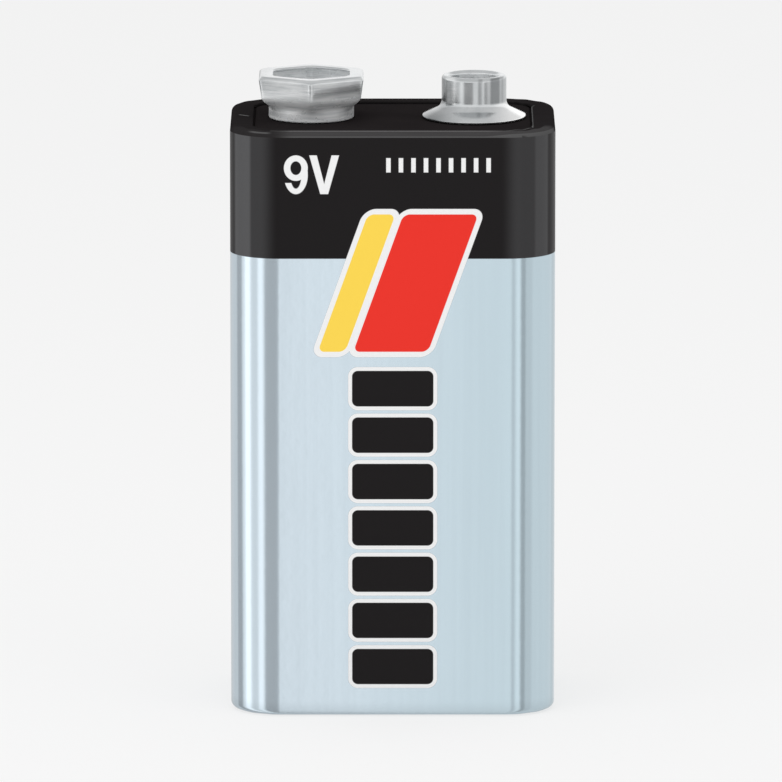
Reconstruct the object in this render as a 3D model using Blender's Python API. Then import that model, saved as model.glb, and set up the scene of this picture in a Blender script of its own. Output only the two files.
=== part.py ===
"""A nine volt battery: six round alkaline cells in series inside a crimped steel jacket.

Metres, +Z up. The origin is the centre of the base and the wide front face looks along
-Y. The six-sided negative socket is at -X on the top, the round positive stud at +X.
"""

from math import atan2, cos, hypot, pi, radians, sin

import bmesh
import bpy

MM = 0.001

# Jacket: one folded steel sheet whose rims are crimped inwards over the end plates
JACKET_WIDTH = 24.8 * MM
JACKET_DEPTH = 17.0 * MM
JACKET_HEIGHT = 45.2 * MM
JACKET_CORNER = 3.8 * MM
JACKET_SHEET = 0.25 * MM
CRIMP_WIDTH = 1.75 * MM
CRIMP_BEND = 0.5 * MM
BAND_DEPTH = 9.7 * MM

# Lap seam down the back of the jacket
SEAM_LAP = 2.4 * MM
SEAM_LINE_WIDTH = 0.14 * MM
SEAM_LINE_DEPTH = 0.1 * MM

# End plates and fibre cards
PLATE_FIT = 0.1 * MM
TERMINAL_PLATE_LEDGE = 1.0 * MM
TERMINAL_PLATE_RECESS = 0.2 * MM
BASE_PLATE_THICKNESS = 1.0 * MM
TOP_CARD_THICKNESS = 0.3 * MM
BOTTOM_CARD_THICKNESS = 0.4 * MM
STACK_GAP = 0.08 * MM

# Snap terminals, pressed from nickel-plated sheet
SNAP_PITCH = 12.45 * MM
SNAP_SHEET = 0.25 * MM
SNAP_SEAT_GAP = 0.05 * MM

STUD_RADIUS = 2.48 * MM
STUD_HEIGHT = 3.3 * MM
STUD_FOLD_RADIUS = 0.08 * MM
STUD_TOP_LAND = 0.18 * MM
STUD_FOOT_RADIUS = 3.97 * MM
STUD_FOOT_RISE = 0.65 * MM
STUD_FOOT_FILLET = 0.5 * MM
STUD_FOOT_LAND = 0.4 * MM

SOCKET_FLATS = 8.0 * MM
SOCKET_HEIGHT = 3.45 * MM
SOCKET_RING_RADIUS = 3.26 * MM
SOCKET_RING_HEIGHT = 0.75 * MM
SOCKET_RING_EDGE = 0.12 * MM
SOCKET_NECK_HEIGHT = 1.15 * MM
SOCKET_BAND_TAPER = 0.18 * MM
SOCKET_LIP_WIDTH = 1.1 * MM
SOCKET_LIP_ROUND = 0.32 * MM

# Hollow rivets that hold the snaps to the plate and the leads
RIVET_SHANK_RADIUS = 0.85 * MM
RIVET_BORE_RADIUS = 0.5 * MM
RIVET_HOLE_FIT = 0.06 * MM
RIVET_HEAD_FIT = 0.2 * MM
RIVET_HEAD_HEIGHT = 0.35 * MM
RIVET_CLINCH_FLANGE = 0.55 * MM
RIVET_CLINCH_HEIGHT = 0.3 * MM

# Nickel strips between the cells and up to the rivets
STRIP_THICKNESS = 0.15 * MM
STRIP_WIDTH = 3.0 * MM
STRIP_SLOT_FIT = 0.25 * MM
LEAD_RISER_SHARE = 0.45

# Round cells
CELL_GAP = 0.08 * MM
NEST_GAP = 0.06 * MM
SLEEVE_FILM = 0.1 * MM
SLEEVE_BARE_END = 0.7 * MM
CAN_WALL = 0.2 * MM
CAN_EDGE = 0.35 * MM
CAN_LIP_INSET = 0.3 * MM
CAN_LIP_WIDTH = 0.8 * MM
PIP_RADIUS = 1.5 * MM
PIP_HEIGHT = 0.5 * MM
CAP_RIM_HEIGHT = 0.3 * MM
CAP_RIM_WIDTH = 0.6 * MM
CAP_SHEET = 0.25 * MM
CAP_EDGE_GAP = 0.35 * MM
NAIL_RADIUS = 0.55 * MM
NAIL_END_SPACE = 12.0 * MM
SEAL_DISC = 0.6 * MM
SEAL_HUB_WALL = 0.6 * MM
SEAL_HUB_HEIGHT = 0.9 * MM
CATHODE_WALL = 1.25 * MM
CATHODE_SEAL_SPACE = 1.2 * MM
SEPARATOR_PAPER = 0.15 * MM

# Facets
CORNER_STEPS = 7
BEND_STEPS = 3
STUD_SIDES = 28
RIVET_SIDES = 16
CELL_SIDES = 16
SOCKET_STEPS_PER_FLAT = 4
SOCKET_NECK_STEPS = 3
CUT_MARGIN = 1.0 * MM

# Sizes that follow from the ones above
INNER_WIDTH = JACKET_WIDTH - 2 * JACKET_SHEET
INNER_DEPTH = JACKET_DEPTH - 2 * JACKET_SHEET
CELL_RADIUS = min((INNER_DEPTH - 3 * CELL_GAP) / 4, (INNER_WIDTH - 4 * CELL_GAP) / 6)
COLUMN_PITCH = INNER_WIDTH / 2 - CELL_RADIUS - CELL_GAP
ROW_OFFSET = INNER_DEPTH / 2 - CELL_RADIUS - CELL_GAP
RIVET_HOLE_RADIUS = RIVET_SHANK_RADIUS + RIVET_HOLE_FIT
STUD_RIM_WIDTH = 2 * (SNAP_SHEET + STUD_FOLD_RADIUS) + STUD_TOP_LAND
STUD_BORE_RADIUS = STUD_RADIUS - STUD_RIM_WIDTH

# Heights of what is stacked on the bottom rim, from below
BASE_PLATE_Z = JACKET_SHEET + STACK_GAP
BOTTOM_CARD_Z = BASE_PLATE_Z + BASE_PLATE_THICKNESS + STACK_GAP
BOTTOM_LINK_Z = BOTTOM_CARD_Z + BOTTOM_CARD_THICKNESS + STACK_GAP
CELL_Z = BOTTOM_LINK_Z + STRIP_THICKNESS + STACK_GAP

# Heights of what hangs under the top rim, from above
PLATE_TOP_Z = JACKET_HEIGHT - TERMINAL_PLATE_RECESS
LEDGE_TOP_Z = JACKET_HEIGHT - JACKET_SHEET - STACK_GAP
PLATE_Z = LEDGE_TOP_Z - TERMINAL_PLATE_LEDGE
LEAD_TAB_Z = PLATE_Z - STACK_GAP - STRIP_THICKNESS
CLINCH_Z = LEAD_TAB_Z - STACK_GAP - RIVET_CLINCH_HEIGHT
TOP_CARD_Z = CLINCH_Z - STACK_GAP - TOP_CARD_THICKNESS
TOP_LINK_Z = TOP_CARD_Z - STACK_GAP - STRIP_THICKNESS
CELL_LENGTH = TOP_LINK_Z - STACK_GAP - CELL_Z
SNAP_Z = PLATE_TOP_Z + SNAP_SEAT_GAP

# The cells in the order of the circuit, from the positive snap to the negative one:
# column along X, row along Y, and whether the positive end is up
CELL_ORDER = (
    (1, -1, True),
    (1, 1, False),
    (0, 1, True),
    (0, -1, False),
    (-1, -1, True),
    (-1, 1, False),
)


def clear_scene():
    for obj in list(bpy.data.objects):
        bpy.data.objects.remove(obj)


def material(name, colour, roughness, metallic=0.0):
    made = bpy.data.materials.new(name)
    made.use_nodes = True
    shader = made.node_tree.nodes["Principled BSDF"]
    shader.inputs["Base Color"].default_value = (*colour, 1.0)
    shader.inputs["Roughness"].default_value = roughness
    shader.inputs["Metallic"].default_value = metallic
    return made


def to_mesh(name, bm, smooth_angle=30):
    """Close a bmesh into a mesh with its faces pointing out and its round parts smooth."""
    bmesh.ops.recalc_face_normals(bm, faces=bm.faces)
    mesh = bpy.data.meshes.new(name)
    bm.to_mesh(mesh)
    bm.free()
    mesh.shade_smooth()
    mesh.set_sharp_from_angle(angle=radians(smooth_angle))
    return mesh


def place(name, mesh, materials, parent=None, location=(0, 0, 0)):
    obj = bpy.data.objects.new(name, mesh)
    if not mesh.materials:
        for each in materials:
            mesh.materials.append(each)
    obj.location = location
    obj.parent = parent
    bpy.context.scene.collection.objects.link(obj)
    return obj


def boolean(target, cutter, operation="DIFFERENCE"):
    """Cut or join a hidden guide solid."""
    cutter.hide_render = True
    cutter.display_type = "WIRE"
    modifier = target.modifiers.new(cutter.name, "BOOLEAN")
    modifier.operation = operation
    modifier.object = cutter


def rounded_rectangle(width, depth, corner):
    """Plan outline, anticlockwise, with its four corners as arcs."""
    points = []
    for quarter in range(4):
        side_x = 1 if quarter in (0, 3) else -1
        side_y = 1 if quarter in (0, 1) else -1
        for step in range(CORNER_STEPS + 1):
            angle = (quarter + step / CORNER_STEPS) * pi / 2
            x = side_x * (width / 2 - corner) + corner * cos(angle)
            y = side_y * (depth / 2 - corner) + corner * sin(angle)
            points.append((x, y))
    return points


def inset_outline(inset):
    """The jacket's plan outline, moved inwards."""
    return rounded_rectangle(
        JACKET_WIDTH - 2 * inset, JACKET_DEPTH - 2 * inset, JACKET_CORNER - inset
    )


def level(outline, z):
    return [(x, y, z) for x, y in outline]


def loft(rings, capped, slots=None):
    """Skin closed rings of points. A capped loft is a solid, the other kind a closed ring."""
    bm = bmesh.new()
    loops = [[bm.verts.new(point) for point in ring] for ring in rings]
    count = len(loops[0])
    last = len(loops) - 1 if capped else len(loops)
    for row in range(last):
        lower = loops[row]
        upper = loops[(row + 1) % len(loops)]
        for i in range(count):
            j = (i + 1) % count
            face = bm.faces.new((lower[i], lower[j], upper[j], upper[i]))
            face.material_index = slots[row] if slots else 0
    if capped:
        bm.faces.new(loops[0])
        bm.faces.new(loops[-1])
    return bm


def turned(profile, sides):
    """Spin a closed (radius, height) profile round Z."""
    bm = bmesh.new()
    verts = [bm.verts.new((radius, 0, z)) for radius, z in profile]
    edges = [bm.edges.new((a, b)) for a, b in zip(verts, verts[1:] + verts[:1])]
    bmesh.ops.spin(
        bm,
        geom=verts + edges,
        cent=(0, 0, 0),
        axis=(0, 0, 1),
        angle=2 * pi,
        steps=sides,
        use_merge=True,
    )
    bmesh.ops.remove_doubles(bm, verts=bm.verts, dist=1e-7)
    on_axis = [face for face in bm.faces if face.calc_area() < 1e-14]
    bmesh.ops.delete(bm, geom=on_axis, context="FACES")
    loose = [edge for edge in bm.edges if not edge.link_faces]
    bmesh.ops.delete(bm, geom=loose, context="EDGES")
    return bm


def extruded(outline, direction):
    """A flat outline of 3-D points, pushed along a direction."""
    bm = bmesh.new()
    face = bm.faces.new([bm.verts.new(point) for point in outline])
    pushed = bmesh.ops.extrude_face_region(bm, geom=[face])["geom"]
    moved = [item for item in pushed if isinstance(item, bmesh.types.BMVert)]
    bmesh.ops.translate(bm, verts=moved, vec=direction)
    return bm


def arc(centre, radius, start, end, steps):
    """Points of an arc in a profile, angles in degrees."""
    angles = [radians(start + (end - start) * i / steps) for i in range(steps + 1)]
    return [(centre[0] + radius * cos(a), centre[1] + radius * sin(a)) for a in angles]


def toward(start, end, distance):
    """The point of a profile that lies at a distance from start on the way to end."""
    share = distance / hypot(end[0] - start[0], end[1] - start[1])
    return start[0] + (end[0] - start[0]) * share, start[1] + (end[1] - start[1]) * share


def fillet(start, corner, end, steps):
    """A soft bend from start to end that leans on the corner point."""
    points = []
    for i in range(steps + 1):
        t = i / steps
        weights = ((1 - t) ** 2, 2 * t * (1 - t), t**2)
        points.append(
            tuple(
                sum(w * p[axis] for w, p in zip(weights, (start, corner, end)))
                for axis in (0, 1)
            )
        )
    return points


def jacket_profile():
    """The folded sheet's closed section as (inset, height), and each stretch's finish."""
    top = JACKET_HEIGHT - CRIMP_BEND
    under = JACKET_HEIGHT - JACKET_SHEET
    inner_bend = CRIMP_BEND - JACKET_SHEET
    outside = arc((CRIMP_BEND, CRIMP_BEND), CRIMP_BEND, 270, 180, BEND_STEPS)
    outside.append((0, JACKET_HEIGHT - BAND_DEPTH))
    lacquered_blue = len(outside) - 1
    outside += arc((CRIMP_BEND, top), CRIMP_BEND, 180, 90, BEND_STEPS)
    outside.append((CRIMP_WIDTH, JACKET_HEIGHT))
    lacquered_black = len(outside) - 1 - lacquered_blue
    inside = [(CRIMP_WIDTH, under)]
    inside += arc((CRIMP_BEND, top), inner_bend, 90, 180, BEND_STEPS)
    inside += arc((CRIMP_BEND, CRIMP_BEND), inner_bend, 180, 270, BEND_STEPS)
    inside += [(CRIMP_WIDTH, JACKET_SHEET), (CRIMP_WIDTH, 0)]
    slots = [1] * lacquered_blue + [0] * lacquered_black + [2] * len(inside) + [1]
    return outside + inside, slots


def seam_position():
    """The lap lies in the valley between two of the round cells."""
    return COLUMN_PITCH / 2


def box(name, low, high):
    outline = level(
        ((low[0], low[1]), (high[0], low[1]), (high[0], high[1]), (low[0], high[1])), low[2]
    )
    return place(name, to_mesh(name, extruded(outline, (0, 0, high[2] - low[2]))), [])


def build_jacket(finishes):
    profile, slots = jacket_profile()
    rings = [level(inset_outline(inset), z) for inset, z in profile]
    jacket = place("jacket", to_mesh("jacket", loft(rings, False, slots)), finishes)

    seam_x = seam_position()
    back = JACKET_DEPTH / 2
    inner_ply = box(
        "seam_inner_ply",
        (seam_x - SEAM_LAP / 2, back - 2 * JACKET_SHEET, CELL_Z),
        (seam_x + SEAM_LAP / 2, back - JACKET_SHEET / 2, CELL_Z + CELL_LENGTH),
    )
    boolean(jacket, inner_ply, "UNION")
    line = box(
        "seam_line",
        (seam_x - SEAM_LINE_WIDTH / 2, back - SEAM_LINE_DEPTH, CRIMP_BEND),
        (seam_x + SEAM_LINE_WIDTH / 2, back + CUT_MARGIN, JACKET_HEIGHT - CRIMP_BEND),
    )
    boolean(jacket, line)
    return jacket


def drill(target, x, y, radius):
    """A round hole right through a flat piece, along Z."""
    name = f"drill_{target.name}_{len(target.modifiers)}"
    profile = ((0, 0), (radius, 0), (radius, JACKET_HEIGHT), (0, JACKET_HEIGHT))
    mesh = to_mesh(name, turned(profile, RIVET_SIDES))
    cutter = place(name, mesh, [], location=(x, y, JACKET_HEIGHT / 2))
    boolean(target, cutter)


def build_plates(plastic, card):
    """Both end plates and both cards, each a close fit inside the jacket."""
    ledge = inset_outline(JACKET_SHEET + PLATE_FIT)
    boss = inset_outline(CRIMP_WIDTH + PLATE_FIT)
    rings = [
        level(ledge, PLATE_Z),
        level(ledge, LEDGE_TOP_Z),
        level(boss, LEDGE_TOP_Z),
        level(boss, PLATE_TOP_Z),
    ]
    plate = place("terminal_plate", to_mesh("terminal_plate", loft(rings, True)), [plastic])
    for side in (-1, 1):
        drill(plate, side * SNAP_PITCH / 2, 0, RIVET_HOLE_RADIUS)

    flat_pieces = (
        ("base_plate", BASE_PLATE_Z, BASE_PLATE_THICKNESS, plastic),
        ("bottom_insulator", BOTTOM_CARD_Z, BOTTOM_CARD_THICKNESS, card),
        ("top_insulator", TOP_CARD_Z, TOP_CARD_THICKNESS, card),
    )
    for name, z, thickness, finish in flat_pieces:
        place(name, to_mesh(name, extruded(level(ledge, z), (0, 0, thickness))), [finish])


def stud_profile():
    """The stud's sheet: a flared foot, an outer wall folded over into an inner one, a floor."""
    fold_radius = SNAP_SHEET + STUD_FOLD_RADIUS
    fold_z = STUD_HEIGHT - fold_radius
    outer_fold = (STUD_RADIUS - fold_radius, fold_z)
    inner_fold = (STUD_BORE_RADIUS + fold_radius, fold_z)
    wall_foot_z = SNAP_SHEET + STUD_FOOT_RISE + STUD_FOOT_FILLET
    inner_wall = STUD_RADIUS - SNAP_SHEET
    foot_edge = (STUD_FOOT_RADIUS - SNAP_SHEET / 2, SNAP_SHEET)
    foot_corner = (STUD_RADIUS, SNAP_SHEET + STUD_FOOT_RISE)
    under_edge = (STUD_FOOT_RADIUS - STUD_FOOT_LAND, 0)
    under_corner = (inner_wall, STUD_FOOT_RISE)
    profile = [(RIVET_HOLE_RADIUS, 0), (STUD_BORE_RADIUS + SNAP_SHEET, 0)]
    profile += arc(inner_fold, STUD_FOLD_RADIUS, 180, 90, 1)
    profile += arc(outer_fold, STUD_FOLD_RADIUS, 90, 0, 1)
    under_end = toward(under_corner, under_edge, STUD_FOOT_FILLET)
    profile += fillet((inner_wall, wall_foot_z), under_corner, under_end, BEND_STEPS)
    profile += [
        under_edge,
        (STUD_FOOT_RADIUS, 0),
        (STUD_FOOT_RADIUS, SNAP_SHEET / 2),
        foot_edge,
    ]
    foot_end = toward(foot_corner, foot_edge, STUD_FOOT_FILLET)
    profile += fillet(foot_end, foot_corner, (STUD_RADIUS, wall_foot_z), BEND_STEPS)
    profile += arc(outer_fold, fold_radius, 0, 90, BEND_STEPS)
    profile += arc(inner_fold, fold_radius, 90, 180, BEND_STEPS)
    profile += [(STUD_BORE_RADIUS, SNAP_SHEET), (RIVET_HOLE_RADIUS, SNAP_SHEET)]
    return profile


def socket_rows():
    """The socket's sheet as rows of (half width across flats, how six-sided, height)."""
    band = SOCKET_FLATS / 2
    band_foot = band - SOCKET_BAND_TAPER
    lip = SOCKET_LIP_ROUND
    inside_lip = band - SOCKET_LIP_WIDTH
    lip_z = SOCKET_HEIGHT - lip

    def neck(inset):
        rows = []
        for step in range(SOCKET_NECK_STEPS + 1):
            share = step / SOCKET_NECK_STEPS
            width = SOCKET_RING_RADIUS + (band_foot - SOCKET_RING_RADIUS) * share
            z = SOCKET_RING_HEIGHT + SOCKET_NECK_HEIGHT * share
            rows.append((width - inset, share, z))
        return rows

    rows = [
        (SOCKET_RING_RADIUS - SOCKET_RING_EDGE, 0, 0),
        (SOCKET_RING_RADIUS, 0, SOCKET_RING_EDGE),
    ]
    rows += neck(0)
    rows += [(width, 1, z) for width, z in arc((band - lip, lip_z), lip, 0, 90, BEND_STEPS)]
    rows += [
        (inside_lip + SNAP_SHEET / 2, 1, SOCKET_HEIGHT),
        (inside_lip, 1, SOCKET_HEIGHT - SNAP_SHEET / 2),
        (inside_lip, 1, SOCKET_HEIGHT - SNAP_SHEET),
        (band - lip, 1, SOCKET_HEIGHT - SNAP_SHEET),
        (band - SNAP_SHEET, 1, lip_z),
    ]
    rows += reversed(neck(SNAP_SHEET))
    rows += [
        (SOCKET_RING_RADIUS - SNAP_SHEET, 0, SNAP_SHEET),
        (RIVET_HOLE_RADIUS, 0, SNAP_SHEET),
        (RIVET_HOLE_RADIUS, 0, 0),
    ]
    return rows


def six_sided(half_width, sharpness, z):
    """A ring between a circle (0) and a hexagon (1), with flats to both sides in X."""
    ring = []
    count = 6 * SOCKET_STEPS_PER_FLAT
    for step in range(count):
        angle = 2 * pi * step / count
        from_flat = (angle + pi / 6) % (pi / 3) - pi / 6
        radius = half_width * (1 + sharpness * (1 / cos(from_flat) - 1))
        ring.append((radius * cos(angle), radius * sin(angle), z))
    return ring


def rivet_profile(floor_z):
    """A hollow rivet: a domed head on the snap's floor and a clinch under the lead's tab."""
    head_radius = STUD_BORE_RADIUS - RIVET_HEAD_FIT
    clinch_radius = RIVET_SHANK_RADIUS + RIVET_CLINCH_FLANGE
    head_z = floor_z + SNAP_SEAT_GAP
    head_top = head_z + RIVET_HEAD_HEIGHT
    edge = RIVET_HEAD_HEIGHT / 2
    return (
        (RIVET_BORE_RADIUS, CLINCH_Z),
        (clinch_radius, CLINCH_Z),
        (clinch_radius, CLINCH_Z + RIVET_CLINCH_HEIGHT),
        (RIVET_SHANK_RADIUS, CLINCH_Z + RIVET_CLINCH_HEIGHT),
        (RIVET_SHANK_RADIUS, head_z),
        (head_radius, head_z),
        (head_radius, head_top - edge),
        (head_radius - edge, head_top),
        (RIVET_BORE_RADIUS, head_top),
    )


def build_snaps(plated, rivet_metal):
    half = SNAP_PITCH / 2
    stud = to_mesh("positive_stud", turned(stud_profile(), STUD_SIDES))
    place("positive_stud", stud, [plated], location=(half, 0, SNAP_Z))
    rings = [six_sided(*row) for row in socket_rows()]
    socket = to_mesh("negative_socket", loft(rings, False))
    place("negative_socket", socket, [plated], location=(-half, 0, SNAP_Z))
    rivet = to_mesh("rivet", turned(rivet_profile(SNAP_Z + SNAP_SHEET), RIVET_SIDES))
    place("positive_rivet", rivet, [rivet_metal], location=(half, 0, 0))
    place("negative_rivet", rivet, [rivet_metal], location=(-half, 0, 0))


def cell_centre(column, row):
    return column * COLUMN_PITCH, row * ROW_OFFSET


def link_outline(start, end, z):
    """A flat strip with round ends over two cell centres."""
    along = atan2(end[1] - start[1], end[0] - start[0])
    outline = []
    for centre, turn in ((start, along + pi / 2), (end, along - pi / 2)):
        for step in range(CORNER_STEPS + 1):
            angle = turn + pi * step / CORNER_STEPS
            x = centre[0] + STRIP_WIDTH / 2 * cos(angle)
            y = centre[1] + STRIP_WIDTH / 2 * sin(angle)
            outline.append((x, y, z))
    return outline


def build_links(nickel):
    """Five strips, each from one cell's end to the next cell's."""
    names = (
        ("bottom_link_right", BOTTOM_LINK_Z),
        ("top_link_back", TOP_LINK_Z),
        ("bottom_link_middle", BOTTOM_LINK_Z),
        ("top_link_front", TOP_LINK_Z),
        ("bottom_link_left", BOTTOM_LINK_Z),
    )
    for (name, z), first, second in zip(names, CELL_ORDER, CELL_ORDER[1:]):
        outline = link_outline(cell_centre(*first[:2]), cell_centre(*second[:2]), z)
        place(name, to_mesh(name, extruded(outline, (0, 0, STRIP_THICKNESS))), [nickel])


def build_lead(name, cell, rivet_x, nickel):
    """A strip folded up from a cell's end, through the card and along under the plate."""
    start_x, start_y = cell_centre(*cell[:2])
    heading = atan2(-start_y, rivet_x - start_x)
    length = hypot(rivet_x - start_x, start_y)
    riser = length * LEAD_RISER_SHARE
    end = STRIP_WIDTH / 2
    side_view = (
        (-end, TOP_LINK_Z),
        (riser, TOP_LINK_Z),
        (riser, LEAD_TAB_Z),
        (length + end, LEAD_TAB_Z),
        (length + end, LEAD_TAB_Z + STRIP_THICKNESS),
        (riser - STRIP_THICKNESS, LEAD_TAB_Z + STRIP_THICKNESS),
        (riser - STRIP_THICKNESS, TOP_LINK_Z + STRIP_THICKNESS),
        (-end, TOP_LINK_Z + STRIP_THICKNESS),
    )
    outline = [(along, -STRIP_WIDTH / 2, z) for along, z in side_view]
    mesh = to_mesh(name, extruded(outline, (0, STRIP_WIDTH, 0)))
    lead = place(name, mesh, [nickel], location=(start_x, start_y, 0))
    lead.rotation_euler.z = heading
    drill(lead, rivet_x, 0, RIVET_HOLE_RADIUS)

    slot_half_width = STRIP_WIDTH / 2 + STRIP_SLOT_FIT
    slot = box(
        f"slot_{name}",
        (riser - STRIP_THICKNESS - STRIP_SLOT_FIT, -slot_half_width, TOP_CARD_Z - CUT_MARGIN),
        (riser + STRIP_SLOT_FIT, slot_half_width, TOP_CARD_Z + CUT_MARGIN),
    )
    slot.location = (start_x, start_y, 0)
    slot.rotation_euler.z = heading
    boolean(bpy.data.objects["top_insulator"], slot)


def cell_profiles():
    """Each turned piece of one cell, from its negative end at zero to its positive end."""
    can = CELL_RADIUS - SLEEVE_FILM - NEST_GAP
    inside = can - CAN_WALL
    shoulder = CELL_LENGTH - PIP_HEIGHT
    ceiling = shoulder - CAN_WALL
    lip_top = CAN_LIP_INSET + CAN_WALL
    lip_radius = can - CAN_LIP_WIDTH

    cap = lip_radius - CAP_EDGE_GAP
    contact = cap - CAP_RIM_WIDTH
    cap_top = CAP_RIM_HEIGHT + CAP_SHEET

    seal = inside - NEST_GAP
    seal_z = max(cap_top, lip_top) + NEST_GAP
    seal_top = seal_z + SEAL_DISC
    nail_bore = NAIL_RADIUS + NEST_GAP
    hub = nail_bore + SEAL_HUB_WALL

    cathode = inside - NEST_GAP
    cathode_bore = cathode - CATHODE_WALL
    cathode_top = ceiling - NEST_GAP
    paper = cathode_bore - NEST_GAP
    paper_bore = paper - SEPARATOR_PAPER
    paper_z = seal_top + NEST_GAP
    gel = paper_bore - NEST_GAP
    gel_z = seal_top + SEAL_HUB_HEIGHT + NEST_GAP
    gel_top = cathode_top - SEPARATOR_PAPER - NEST_GAP
    nail_tip = gel_top - NAIL_END_SPACE

    return {
        "can": (
            (lip_radius, CAN_LIP_INSET),
            (can - CAN_EDGE, CAN_LIP_INSET),
            (can, CAN_LIP_INSET + CAN_EDGE),
            (can, shoulder - CAN_EDGE),
            (can - CAN_EDGE, shoulder),
            (PIP_RADIUS, shoulder),
            (PIP_RADIUS, CELL_LENGTH),
            (0, CELL_LENGTH),
            (0, CELL_LENGTH - CAN_WALL),
            (PIP_RADIUS - CAN_WALL, CELL_LENGTH - CAN_WALL),
            (PIP_RADIUS - CAN_WALL, ceiling),
            (inside, ceiling),
            (inside, lip_top),
            (lip_radius, lip_top),
        ),
        "collector": (
            (0, 0),
            (contact, 0),
            (contact + CAP_RIM_HEIGHT, CAP_RIM_HEIGHT),
            (cap, CAP_RIM_HEIGHT),
            (cap, cap_top),
            (NAIL_RADIUS, cap_top),
            (NAIL_RADIUS, nail_tip - NAIL_RADIUS),
            (0, nail_tip),
        ),
        "seal": (
            (nail_bore, seal_z),
            (seal, seal_z),
            (seal, seal_top),
            (hub, seal_top),
            (hub, seal_top + SEAL_HUB_HEIGHT),
            (nail_bore, seal_top + SEAL_HUB_HEIGHT),
        ),
        "cathode": (
            (cathode_bore, seal_top + CATHODE_SEAL_SPACE),
            (cathode, seal_top + CATHODE_SEAL_SPACE),
            (cathode, cathode_top),
            (cathode_bore, cathode_top),
        ),
        "separator": (
            (paper_bore, paper_z),
            (paper, paper_z),
            (paper, cathode_top),
            (0, cathode_top),
            (0, cathode_top - SEPARATOR_PAPER),
            (paper_bore, cathode_top - SEPARATOR_PAPER),
        ),
        "anode": (
            (nail_bore, gel_z),
            (gel, gel_z),
            (gel, gel_top),
            (0, gel_top),
            (0, nail_tip + NEST_GAP),
            (nail_bore, nail_tip + NEST_GAP - NAIL_RADIUS),
        ),
        "sleeve": (
            (can + NEST_GAP, SLEEVE_BARE_END),
            (CELL_RADIUS, SLEEVE_BARE_END),
            (CELL_RADIUS, CELL_LENGTH - PIP_HEIGHT - SLEEVE_BARE_END),
            (can + NEST_GAP, CELL_LENGTH - PIP_HEIGHT - SLEEVE_BARE_END),
        ),
    }


def build_cells(finishes):
    meshes = {
        piece: to_mesh(f"cell_{piece}", turned(profile, CELL_SIDES))
        for piece, profile in cell_profiles().items()
    }
    for number, (column, row, positive_up) in enumerate(CELL_ORDER, 1):
        holder = bpy.data.objects.new(f"cell_{number}", None)
        bpy.context.scene.collection.objects.link(holder)
        x, y = cell_centre(column, row)
        holder.location = (x, y, CELL_Z if positive_up else CELL_Z + CELL_LENGTH)
        holder.rotation_euler.x = 0 if positive_up else pi
        for piece, mesh in meshes.items():
            place(f"cell_{number}_{piece}", mesh, [finishes[piece]], holder)


def build():
    clear_scene()
    black_lacquer = material("black_lacquer", (0.017, 0.014, 0.015), 0.3)
    blue_lacquer = material("pale_blue_lacquer", (0.55, 0.66, 0.73), 0.3)
    bare_steel = material("bare_steel", (0.55, 0.55, 0.56), 0.4, 1.0)
    black_plastic = material("black_plastic", (0.017, 0.014, 0.015), 0.45)
    fibre_card = material("fibre_card", (0.42, 0.33, 0.22), 0.9)
    plated = material("nickel_plate", (0.72, 0.73, 0.75), 0.22, 1.0)
    nickel = material("nickel_strip", (0.66, 0.65, 0.62), 0.3, 1.0)
    cell_finishes = {
        "can": plated,
        "collector": material("brass", (0.72, 0.56, 0.27), 0.3, 1.0),
        "seal": material("nylon", (0.75, 0.74, 0.68), 0.5),
        "cathode": material("manganese_mix", (0.03, 0.03, 0.035), 0.8),
        "separator": material("separator_paper", (0.85, 0.83, 0.78), 0.9),
        "anode": material("zinc_gel", (0.36, 0.38, 0.41), 0.6),
        "sleeve": material("clear_green_film", (0.1, 0.35, 0.24), 0.35),
    }
    build_jacket([black_lacquer, blue_lacquer, bare_steel])
    build_plates(black_plastic, fibre_card)
    build_snaps(plated, plated)
    build_links(nickel)
    build_lead("positive_lead", CELL_ORDER[0], SNAP_PITCH / 2, nickel)
    build_lead("negative_lead", CELL_ORDER[-1], -SNAP_PITCH / 2, nickel)
    build_cells(cell_finishes)


build()
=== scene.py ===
"""Looks of a nine volt battery: the crimped and printed steel jacket, its end plates, the
two snap terminals and their rivets, and the finishes of the cells inside.

Metres, +Z up, front face towards -Y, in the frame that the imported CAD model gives. Sizes in
the tables below are in millimetres and MM turns them into metres.
"""

from math import atan2, cos, hypot, pi, radians, sin, sqrt, tan

import bmesh
import bpy
from mathutils import Matrix, Vector


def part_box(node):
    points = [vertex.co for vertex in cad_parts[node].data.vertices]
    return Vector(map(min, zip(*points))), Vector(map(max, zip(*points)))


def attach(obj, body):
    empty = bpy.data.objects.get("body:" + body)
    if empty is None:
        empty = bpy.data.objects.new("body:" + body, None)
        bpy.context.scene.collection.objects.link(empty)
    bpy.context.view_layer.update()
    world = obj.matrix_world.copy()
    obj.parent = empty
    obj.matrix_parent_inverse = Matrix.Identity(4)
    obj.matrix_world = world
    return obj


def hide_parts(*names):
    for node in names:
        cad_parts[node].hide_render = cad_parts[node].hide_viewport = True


MM = 0.001

# Camera, its distance in metres
CAMERA_ELEVATION = radians(10.4)
CAMERA_DISTANCE = 0.9
CAMERA_LENS = 539
CAMERA_AIM = (-0.13, 0, 23.71)

# Jacket, one folded sheet, whose outer sizes come from the frame
CORNER_RADIUS = 3.8
CORNER_STEPS = 28
SHEET = 0.25
CRIMP_WIDTH = 1.75
CRIMP_BEND = 0.5
BEND_STEPS = 8
CUT_EDGE_ROUND = 0.07
CUT_EDGE_STEPS = 3
SEAM_LINE_WIDTH = 0.14
SEAM_LINE_DEPTH = 0.1
SEAM_LAP = 2.4
PUCKER_DEPTH = 0.07
# Folds in a quarter turn, and the slower swell over them
PUCKER_FOLDS = 3.0
PUCKER_SWELLS = 1.3

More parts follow.
